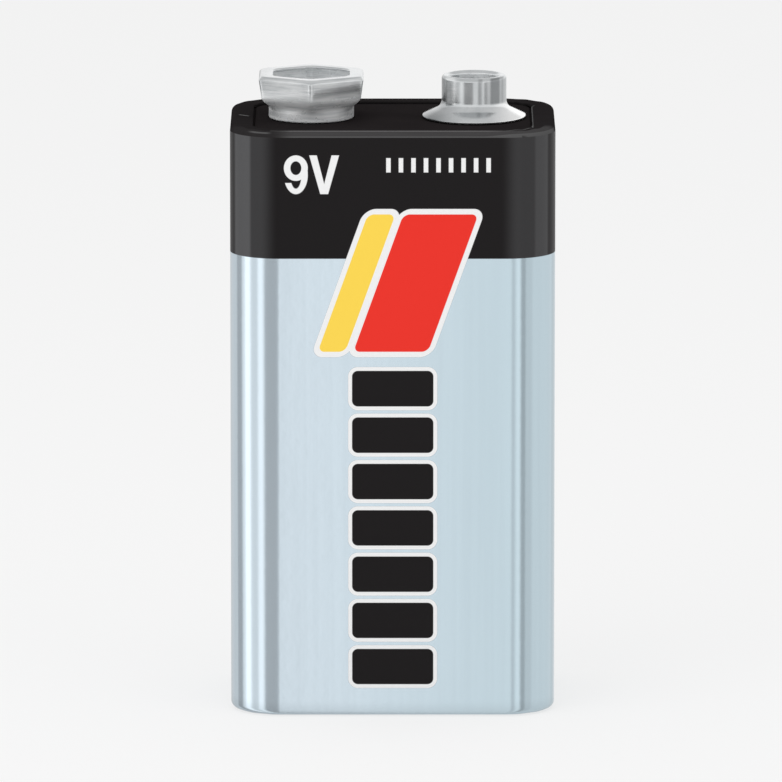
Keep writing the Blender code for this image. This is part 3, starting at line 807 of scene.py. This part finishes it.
def turned(group, profile, material, centre):
    """A closed (radius, height) profile turned round an upright axis."""
    section = [(TURNING_RADIUS - radius, z) for radius, z in profile]
    mesh = swept(group, section, material, radius=TURNING_RADIUS * MM, sides=TURNED_SIDES)
    mesh.transform(Matrix.Translation(centre * MM))
    return mesh


def ring_of(bm, points):
    """Vertices at points in millimetres."""
    return [bm.verts.new([c * MM for c in point]) for point in points]


def join_rings(bm, rings):
    """Faces from each ring to the next."""
    count = len(rings[0])
    for lower, upper in zip(rings, rings[1:]):
        for i in range(count):
            j = (i + 1) % count
            bm.faces.new((lower[i], lower[j], upper[j], upper[i]))


def closed_mesh(bm, smooth_angle):
    """The mesh of a closed shell, its faces turned outwards."""
    bmesh.ops.recalc_face_normals(bm, faces=bm.faces)
    mesh = bpy.data.meshes.new("shell")
    bm.to_mesh(mesh)
    bm.free()
    finish_mesh(mesh, smooth_angle)
    return mesh


def block(low, high):
    """A hidden box that is joined to a mesh or cut out of it."""
    bm = bmesh.new()
    bmesh.ops.create_cube(bm, size=1)
    for vert in bm.verts:
        vert.co = [(l + (h - l) * (c + 0.5)) * MM for l, h, c in zip(low, high, vert.co)]
    mesh = bpy.data.meshes.new("block")
    bm.to_mesh(mesh)
    bm.free()
    return mesh


def combined(mesh, steps):
    """A mesh after its Boolean steps, each an operation and another mesh."""
    objects = [bpy.data.objects.new("joined", mesh)]
    for operation, other in steps:
        guide = bpy.data.objects.new("guide", other)
        objects.append(guide)
        modifier = objects[0].modifiers.new(operation, "BOOLEAN")
        modifier.operation = operation
        modifier.object = guide
    for obj in objects:
        bpy.context.scene.collection.objects.link(obj)
    evaluated = objects[0].evaluated_get(bpy.context.evaluated_depsgraph_get())
    result = bpy.data.meshes.new_from_object(evaluated)
    for obj in objects:
        bpy.data.objects.remove(obj)
    return result


def jacket_section():
    """The folded sheet's closed section as (inset, height)."""
    top = JACKET_HEIGHT - CRIMP_BEND
    inner_bend = CRIMP_BEND - SHEET
    r = CUT_EDGE_ROUND
    outside = arc((CRIMP_WIDTH - r, r), r, 360, 270, CUT_EDGE_STEPS)
    outside += arc((CRIMP_BEND, CRIMP_BEND), CRIMP_BEND, 270, 180, BEND_STEPS)
    outside += arc((CRIMP_BEND, top), CRIMP_BEND, 180, 90, BEND_STEPS)
    outside += arc((CRIMP_WIDTH - r, JACKET_HEIGHT - r), r, 90, 0, CUT_EDGE_STEPS)
    inside = arc((CRIMP_WIDTH - r, JACKET_HEIGHT - SHEET + r), r, 0, -90, CUT_EDGE_STEPS)
    inside += arc((CRIMP_BEND, top), inner_bend, 90, 180, BEND_STEPS)
    inside += arc((CRIMP_BEND, CRIMP_BEND), inner_bend, 180, 270, BEND_STEPS)
    inside += arc((CRIMP_WIDTH - r, SHEET - r), r, 90, 0, CUT_EDGE_STEPS)
    return outside + inside


def past_corner_centre(x, y):
    """How far a point lies past the centre of its corner's round, across and along."""
    across = abs(x) - (JACKET_WIDTH / 2 - CORNER_RADIUS)
    along = abs(y) - (JACKET_DEPTH / 2 - CORNER_RADIUS)
    return across, along


def pucker(mesh):
    """Shallow folds where the crimped sheet gathers round each corner, at both ends."""
    for vert in mesh.vertices:
        x, y, z = (c / MM for c in vert.co)
        across, along = past_corner_centre(x, y)
        if across <= 0 or along <= 0:
            continue
        depth = CORNER_RADIUS - hypot(across, along)
        if depth <= 0:
            continue
        turn = atan2(along, across) / (pi / 2)
        fade = sin(pi * turn) ** 0.5 * min(1.0, depth / CRIMP_BEND) ** 2
        # The folds start elsewhere at each corner
        phase = (x > 0) * 1.7 + (y > 0) * 2.9
        folds = 0.5 + 0.5 * sin(2 * pi * PUCKER_FOLDS * turn + phase)
        folds *= 0.7 + 0.3 * sin(2 * pi * PUCKER_SWELLS * turn + 2 * phase)
        shift = PUCKER_DEPTH * fade * folds
        upper = z > JACKET_HEIGHT / 2
        vert.co.z += (-shift if upper else shift) * MM


def mark_lacquer(mesh):
    """The outer face of the sheet is lacquered and its inner face is bare."""
    marks = []
    for vert in mesh.vertices:
        x, y, z = (c / MM for c in vert.co)
        across, along = past_corner_centre(x, y)
        reach = hypot(max(across, 0), max(along, 0)) + min(max(across, along), 0)
        near_end = min(z, JACKET_HEIGHT - z)
        puckers = 2 * PUCKER_DEPTH if near_end < 1 else 0
        is_outer = min(CORNER_RADIUS - reach, near_end) < SHEET / 2 + puckers
        marks.append(float(is_outer))
    attribute = mesh.attributes.new("lacquered", "FLOAT", "POINT")
    attribute.data.foreach_set("value", marks)


def build_jacket(lacquer):
    """The crimped sheet with its lap, whose inner ply runs between the two plates."""
    sizes = {"Width": "Float", "Depth": "Float", "Corner Radius": "Float", "Corner Steps": "Int"}
    mesh = swept(
        sweep_tree("sheet_round_jacket", sizes, rounded_outline),
        jacket_section(),
        lacquer,
        width=JACKET_WIDTH * MM,
        depth=JACKET_DEPTH * MM,
        corner_radius=CORNER_RADIUS * MM,
        corner_steps=CORNER_STEPS,
    )
    pucker(mesh)
    back = JACKET_DEPTH / 2
    cell_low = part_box("cell_1_collector")[0].z / MM
    cell_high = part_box("cell_1_can")[1].z / MM
    inner_ply = block(
        (SEAM_X - SEAM_LAP / 2, back - 2 * SHEET, cell_low),
        (SEAM_X + SEAM_LAP / 2, back - SHEET / 2, cell_high),
    )
    seam_line = block(
        (SEAM_X - SEAM_LINE_WIDTH / 2, back - SEAM_LINE_DEPTH, CRIMP_BEND),
        (SEAM_X + SEAM_LINE_WIDTH / 2, back + SHEET, JACKET_HEIGHT - CRIMP_BEND),
    )
    mesh = combined(mesh, (("UNION", inner_ply), ("DIFFERENCE", seam_line)))
    mark_lacquer(mesh)
    finish_mesh(mesh, 50)
    dress("steel_jacket", mesh, lacquer, "jacket_lacquer", "jacket")


def rounded_rectangle(inset, z):
    """The jacket's plan outline in millimetres, moved inwards, anticlockwise."""
    corner = CORNER_RADIUS - inset
    points = []
    for quarter in range(4):
        side_x = 1 if quarter in (0, 3) else -1
        side_y = 1 if quarter in (0, 1) else -1
        for step in range(CORNER_STEPS + 1):
            angle = (quarter + step / CORNER_STEPS) * pi / 2
            x = side_x * (JACKET_WIDTH / 2 - CORNER_RADIUS) + corner * cos(angle)
            y = side_y * (JACKET_DEPTH / 2 - CORNER_RADIUS) + corner * sin(angle)
            points.append((x, y, z))
    return points


def hole_circle(centre_x, z):
    """A rivet hole's circle in millimetres."""
    angles = [2 * pi * i / PLATE_HOLE_SIDES for i in range(PLATE_HOLE_SIDES)]
    return [(centre_x + RIVET_HOLE * cos(a), RIVET_HOLE * sin(a), z) for a in angles]


def build_terminal_plate(plastic):
    """The stepped plate: a ledge under the crimp and a boss that fills its opening."""
    low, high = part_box("terminal_plate")
    bottom, top = low.z / MM, high.z / MM
    ledge = SHEET + PLATE_FIT
    boss = CRIMP_WIDTH + PLATE_FIT
    ledge_top = bottom + PLATE_LEDGE
    r = PLATE_EDGE_ROUND
    profile = [(ledge, bottom), (ledge, ledge_top), (boss, ledge_top)]
    profile += arc((boss + r, top - r), r, 180, 90, PLATE_EDGE_STEPS)
    bm = bmesh.new()
    rings = [ring_of(bm, rounded_rectangle(*row)) for row in profile]
    join_rings(bm, rings)
    floor_loops, top_loops = [rings[0]], [rings[-1]]
    for rivet in ("negative_rivet", "positive_rivet"):
        centre_x = standing(rivet)[0].x
        lower, upper = (ring_of(bm, hole_circle(centre_x, z)) for z in (bottom, top))
        join_rings(bm, [upper, lower])
        floor_loops.append(lower)
        top_loops.append(upper)
    for loops in (floor_loops, top_loops):
        edges = []
        for loop in loops:
            edges += [bm.edges.get(pair) for pair in zip(loop, loop[1:] + loop[:1])]
        bmesh.ops.triangle_fill(bm, use_beauty=True, edges=edges)
    dress("snap_plate", closed_mesh(bm, 40), plastic, "black_plastic", "terminal_plate")


def build_base_plate(plastic):
    """The plate that closes the bottom, chamfered all round."""
    low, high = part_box("base_plate")
    bottom, top = low.z / MM, high.z / MM
    edge = SHEET + PLATE_FIT
    c = BASE_CHAMFER
    profile = [(edge + c, bottom), (edge, bottom + c), (edge, top - c), (edge + c, top)]
    bm = bmesh.new()
    rings = [ring_of(bm, rounded_rectangle(*row)) for row in profile]
    join_rings(bm, rings)
    bm.faces.new(rings[0])
    bm.faces.new(rings[-1])
    dress("end_plate", closed_mesh(bm, 40), plastic, "black_plastic", "base_plate")


def stud_profile(height):
    """The stud's sheet: a flared foot, an outer wall folded over into an inner one, a floor."""
    fold_z = height - STUD_FOLD
    outer_fold = (STUD_RADIUS - STUD_FOLD, fold_z)
    inner_fold = (STUD_BORE + STUD_FOLD, fold_z)
    wall_foot_z = SNAP_SHEET + STUD_FOOT_RISE + STUD_FOOT_FILLET
    inner_wall = STUD_RADIUS - SNAP_SHEET
    foot_edge = (STUD_FOOT_RADIUS - SNAP_SHEET / 2, SNAP_SHEET)
    foot_corner = (STUD_RADIUS, SNAP_SHEET + STUD_FOOT_RISE)
    under_edge = (STUD_FOOT_RADIUS - STUD_FOOT_LAND, 0)
    under_corner = (inner_wall, STUD_FOOT_RISE)
    profile = [(RIVET_HOLE, 0), (STUD_BORE + SNAP_SHEET, 0)]
    profile += arc(inner_fold, STUD_FOLD_RADIUS, 180, 90, STUD_STEPS // 2)
    profile += arc(outer_fold, STUD_FOLD_RADIUS, 90, 0, STUD_STEPS // 2)
    under_end = toward(under_corner, under_edge, STUD_FOOT_FILLET)
    profile += fillet((inner_wall, wall_foot_z), under_corner, under_end, STUD_STEPS)
    profile += [under_edge]
    r = SNAP_SHEET / 2
    profile += arc((STUD_FOOT_RADIUS - r, r), r, -90, 60, STUD_STEPS)
    foot_end = toward(foot_corner, foot_edge, STUD_FOOT_FILLET)
    profile += fillet(foot_end, foot_corner, (STUD_RADIUS, wall_foot_z), STUD_STEPS)
    profile += arc(outer_fold, STUD_FOLD, 0, 90, STUD_STEPS)
    profile += arc(inner_fold, STUD_FOLD, 90, 180, STUD_STEPS)
    floor_corner = (STUD_BORE, SNAP_SHEET)
    bore_end = (STUD_BORE, SNAP_SHEET + STUD_FLOOR_FILLET)
    floor_end = (STUD_BORE - STUD_FLOOR_FILLET, SNAP_SHEET)
    profile += fillet(bore_end, floor_corner, floor_end, STUD_FLOOR_STEPS)
    profile += [(RIVET_HOLE, SNAP_SHEET)]
    return profile


def socket_rows(height):
    """The socket's sheet as (half width across flats, how six-sided, height, edge radius)."""
    band = SOCKET_FLATS / 2
    band_foot = band - SOCKET_BAND_TAPER
    ring = SOCKET_RING_RADIUS
    lip = SOCKET_LIP_ROUND
    lip_z = height - lip

    def neck(inset):
        rows = []
        for step in range(SOCKET_NECK_STEPS + 1):
            share = step / SOCKET_NECK_STEPS
            ease = share * share * (3 - 2 * share)
            facets = 1 - (1 - share) ** 3
            width = ring + (band_foot - ring) * ease
            waist = SOCKET_WAIST * sin(pi * min(1.0, share * 1.6)) ** 2 * (1 - share)
            z = SOCKET_RING_HEIGHT + SOCKET_NECK_HEIGHT * share
            rows.append((width - inset - waist, facets, z, SOCKET_EDGE))
        return rows

    r = SOCKET_RING_EDGE
    rows = [(w, 0, z, 1.0) for w, z in arc((ring - r, r), r, -90, 0, SOCKET_FOLD_STEPS)]
    rows += neck(0)
    for w, z in arc((band - lip, lip_z), lip, 0, 90, SOCKET_LIP_STEPS):
        rows.append((w, 1, z, SOCKET_EDGE + SOCKET_LIP_SOFTNESS * (z - lip_z) / lip))
    r = SNAP_SHEET / 2
    lip_end = (band - SOCKET_LIP_WIDTH + r, height - r)
    top_edge = SOCKET_EDGE + SOCKET_LIP_SOFTNESS
    rows += [(w, 1, z, top_edge) for w, z in arc(lip_end, r, 90, 270, SOCKET_LIP_STEPS)]
    under_lip = arc((band - lip, lip_z), lip - SNAP_SHEET, 90, 0, SOCKET_FOLD_STEPS)
    rows += [(w, 1, z, SOCKET_EDGE) for w, z in under_lip]
    rows += reversed(neck(SNAP_SHEET))
    r = SOCKET_FLOOR_EDGE
    floor = (ring - SNAP_SHEET - r, SNAP_SHEET + r)
    rows += [(w, 0, z, 1.0) for w, z in arc(floor, r, 0, -90, SOCKET_FOLD_STEPS)]
    rows += [(RIVET_HOLE, 0, SNAP_SHEET, 1.0), (RIVET_HOLE, 0, 0, 1.0)]
    return rows


def six_sided(half_width, sharpness, z, edge):
    """A ring between a circle (0) and a hexagon with round edges (1), flats towards X."""
    ring = []
    count = 6 * SOCKET_STEPS_PER_FLAT
    edge = min(edge, half_width)
    inner = half_width - edge
    corner = (inner, inner * tan(pi / 6))
    for step in range(count):
        angle = 2 * pi * step / count
        from_flat = (angle + pi / 6) % (pi / 3) - pi / 6
        bearing = abs(from_flat)
        reach = half_width / cos(bearing)
        if half_width * tan(bearing) > corner[1]:
            dot = corner[0] * cos(bearing) + corner[1] * sin(bearing)
            reach = dot + sqrt(max(0.0, dot * dot - corner[0] ** 2 - corner[1] ** 2 + edge**2))
        radius = half_width + sharpness * (reach - half_width)
        ring.append((radius * cos(angle), radius * sin(angle), z))
    return ring


def build_socket(nickel):
    """The socket, one closed sheet lofted through its rows."""
    centre, height = standing("negative_socket")
    bm = bmesh.new()
    rings = [
        ring_of(bm, [Vector(point) + centre for point in six_sided(*row)])
        for row in socket_rows(height)
    ]
    join_rings(bm, rings + rings[:1])
    dress("snap_socket", closed_mesh(bm, 60), nickel, "nickel_plate", "negative_socket")


def rivet_profile(top):
    """A hollow rivet: the clinch on the bottom, the shank and the head in the snap's floor."""
    clinch = RIVET_SHANK + RIVET_CLINCH_FLANGE
    head = STUD_BORE - RIVET_HEAD_FIT
    head_z = top - RIVET_HEAD_HEIGHT
    head_side = (head, head_z + RIVET_HEAD_SIDE)
    head_end = (head - RIVET_HEAD_HEIGHT / 2, top)
    bore_start = (RIVET_BORE + RIVET_BORE_ROUND, top)
    bore_end = (RIVET_BORE, top - RIVET_BORE_ROUND)
    profile = [(RIVET_BORE, 0), (clinch, 0), (clinch, RIVET_CLINCH_HEIGHT)]
    profile += [(RIVET_SHANK, RIVET_CLINCH_HEIGHT), (RIVET_SHANK, head_z), (head, head_z)]
    profile += fillet(head_side, (head, top), head_end, RIVET_HEAD_STEPS)
    profile += fillet(bore_start, (RIVET_BORE, top), bore_end, RIVET_BORE_STEPS)
    return profile


def build_snaps(nickel):
    """The stud, the socket and both rivets. All but the socket are turned."""
    turning = sweep_tree("profile_round_axis", {"Radius": "Float", "Sides": "Int"}, circle)
    centre, height = standing("positive_stud")
    stud = turned(turning, stud_profile(height), nickel, centre)
    finish_mesh(stud, 60)
    dress("snap_stud", stud, nickel, "nickel_plate", "positive_stud")
    build_socket(nickel)
    for name in ("positive_rivet", "negative_rivet"):
        centre, height = standing(name)
        rivet = turned(turning, rivet_profile(height), nickel, centre)
        finish_mesh(rivet, 40)
        dress(f"hollow_{name}", rivet, nickel, "nickel_plate", name)


def dress_inside(nodes):
    """The pieces that no finer mesh stands for keep their CAD mesh and get a finish."""
    finishes = {}
    for make_paint, table in ((metal_paint, SHEET_METALS), (grainy_paint, GRAINY_STUFFS)):
        for kind, (name, *numbers) in table.items():
            finishes[kind] = new_material(name, make_paint(*numbers))
    for name, node in nodes.items():
        if node.hide_render:
            continue
        kind = name.rsplit("_", 1)[-1]
        if "insulator" in name:
            kind = "card"
        elif "lead" in name or "link" in name:
            kind = "strip"
        node.data.materials.clear()
        node.data.materials.append(finishes[kind])


# Stage


def softbox(name, azimuth, elevation, distance, width, height, radiance):
    """A soft lamp that faces the battery and isn't mirrored in it."""
    lamp = bpy.data.lights.new(name, "AREA")
    lamp.shape = "RECTANGLE"
    lamp.size = width
    lamp.size_y = height
    lamp.energy = radiance * pi * width * height
    obj = bpy.data.objects.new(name, lamp)
    a, e = radians(azimuth), radians(elevation)
    out = Vector((sin(a) * cos(e), -cos(a) * cos(e), sin(e)))
    obj.location = out * distance + Vector((0, 0, JACKET_HEIGHT / 2)) * MM
    obj.rotation_mode = "QUATERNION"
    obj.rotation_quaternion = out.to_track_quat("Z", "Y")
    obj.visible_camera = False
    obj.visible_glossy = False
    bpy.context.scene.collection.objects.link(obj)


def mirrored_room(tree):
    """The room as metal and lacquer mirror it: strips and flags round a table, and over it a
    ring light and a soft ceiling."""
    direction = tree.add("ShaderNodeTexCoord", output=0)
    x, y, z = direction.parts()
    azimuth = x.math("ARCTAN2", -y) * (180 / pi)
    elevation = z.math("ARCSINE") * (180 / pi)
    level = tree.number(MIRRORED_LEVEL)
    for centre, half_width, radiance in MIRRORED_STRIPS:
        inside = hard(tree, abs(azimuth - centre) - half_width, STRIP_SOFTNESS)
        level = level + inside * (radiance - level)
    for start, radiance in ROOM_BANDS:
        above = tree.step(elevation, start - BAND_SOFTNESS, start + BAND_SOFTNESS)
        level = level + above * (radiance - level)
    return level


def ray_is(tree, kind):
    """1 for rays of one kind, Camera or Glossy, and 0 for others."""
    path = tree.node("ShaderNodeLightPath")
    return Value(tree, path.outputs[f"Is {kind} Ray"])


def build_world():
    """Even light, a paler background for the camera, and the room in reflections."""
    world = bpy.data.worlds.new("studio")
    bpy.context.scene.world = world
    world.cycles.sampling_method = "NONE"
    world.use_nodes = True
    world.node_tree.nodes.clear()
    tree = Tree(world.node_tree)
    strength = WORLD_LIGHT + ray_is(tree, "Camera") * (BACKGROUND - WORLD_LIGHT)
    strength = strength + ray_is(tree, "Glossy") * (mirrored_room(tree) - strength)
    light = {"Color": (1, 1, 1, 1), "Strength": strength}
    background = tree.add("ShaderNodeBackground", {}, light)
    tree.node("ShaderNodeOutputWorld", {}, {"Surface": background})


def paint_table(tree):
    """Pale to the light, and as pale as the background to the camera, with a faint shadow."""
    seen = ray_is(tree, "Camera")
    return tree.finish(
        base_color=tree.mix(seen, (FLOOR_ALBEDO,) * 3, (FLOOR_SHADE,) * 3),
        roughness=1.0,
        specular_ior_level=0.0,
        emission_color=tree.mix(seen, (0, 0, 0), (FLOOR_GLOW,) * 3),
        emission_strength=1.0,
    )


def build_floor():
    """A round table, just under the battery."""
    bm = bmesh.new()
    bmesh.ops.create_circle(bm, cap_ends=True, segments=FLOOR_SIDES, radius=FLOOR_RADIUS)
    mesh = bpy.data.meshes.new("floor")
    bm.to_mesh(mesh)
    bm.free()
    floor = bpy.data.objects.new("floor", mesh)
    mesh.materials.append(new_material("pale_table", paint_table))
    floor.visible_glossy = False
    floor.location.z = -FLOOR_DROP * MM
    bpy.context.scene.collection.objects.link(floor)


def build_camera():
    """The photo's viewing angle, from far off through a long lens."""
    lens = bpy.data.cameras.new("camera")
    lens.lens = CAMERA_LENS
    lens.sensor_width = 36
    lens.clip_start = 0.05
    lens.clip_end = 10
    camera = bpy.data.objects.new("camera", lens)
    back = Vector((0, -cos(CAMERA_ELEVATION), sin(CAMERA_ELEVATION)))
    camera.location = Vector(CAMERA_AIM) * MM + back * CAMERA_DISTANCE
    camera.rotation_mode = "QUATERNION"
    camera.rotation_quaternion = back.to_track_quat("Z", "Y")
    bpy.context.scene.collection.objects.link(camera)
    bpy.context.scene.camera = camera


# Build, to the sizes that the frame gives

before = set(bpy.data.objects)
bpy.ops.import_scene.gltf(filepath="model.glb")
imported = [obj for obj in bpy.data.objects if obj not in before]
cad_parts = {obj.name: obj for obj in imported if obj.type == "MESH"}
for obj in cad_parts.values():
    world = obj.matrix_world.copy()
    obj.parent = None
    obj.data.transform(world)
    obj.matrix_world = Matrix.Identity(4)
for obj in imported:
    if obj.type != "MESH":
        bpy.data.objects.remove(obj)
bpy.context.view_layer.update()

jacket_low, jacket_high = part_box("jacket")
JACKET_WIDTH = (jacket_high.x - jacket_low.x) / MM
JACKET_DEPTH = (jacket_high.y - jacket_low.y) / MM
JACKET_HEIGHT = jacket_high.z / MM
SEAM_X = (standing("cell_1_can")[0].x + standing("cell_3_can")[0].x) / 2

lacquer = new_material("printed_lacquer", paint_jacket)
plastic = new_material("black_plastic", paint_plastic)
nickel = new_material("nickel_plate", paint_nickel)

build_jacket(lacquer)
build_terminal_plate(plastic)
build_base_plate(plastic)
build_snaps(nickel)
dress_inside(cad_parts)

build_world()
build_floor()
for lamp in LAMPS:
    softbox(*lamp)
build_camera()
bpy.context.scene.view_settings.view_transform = "Standard"
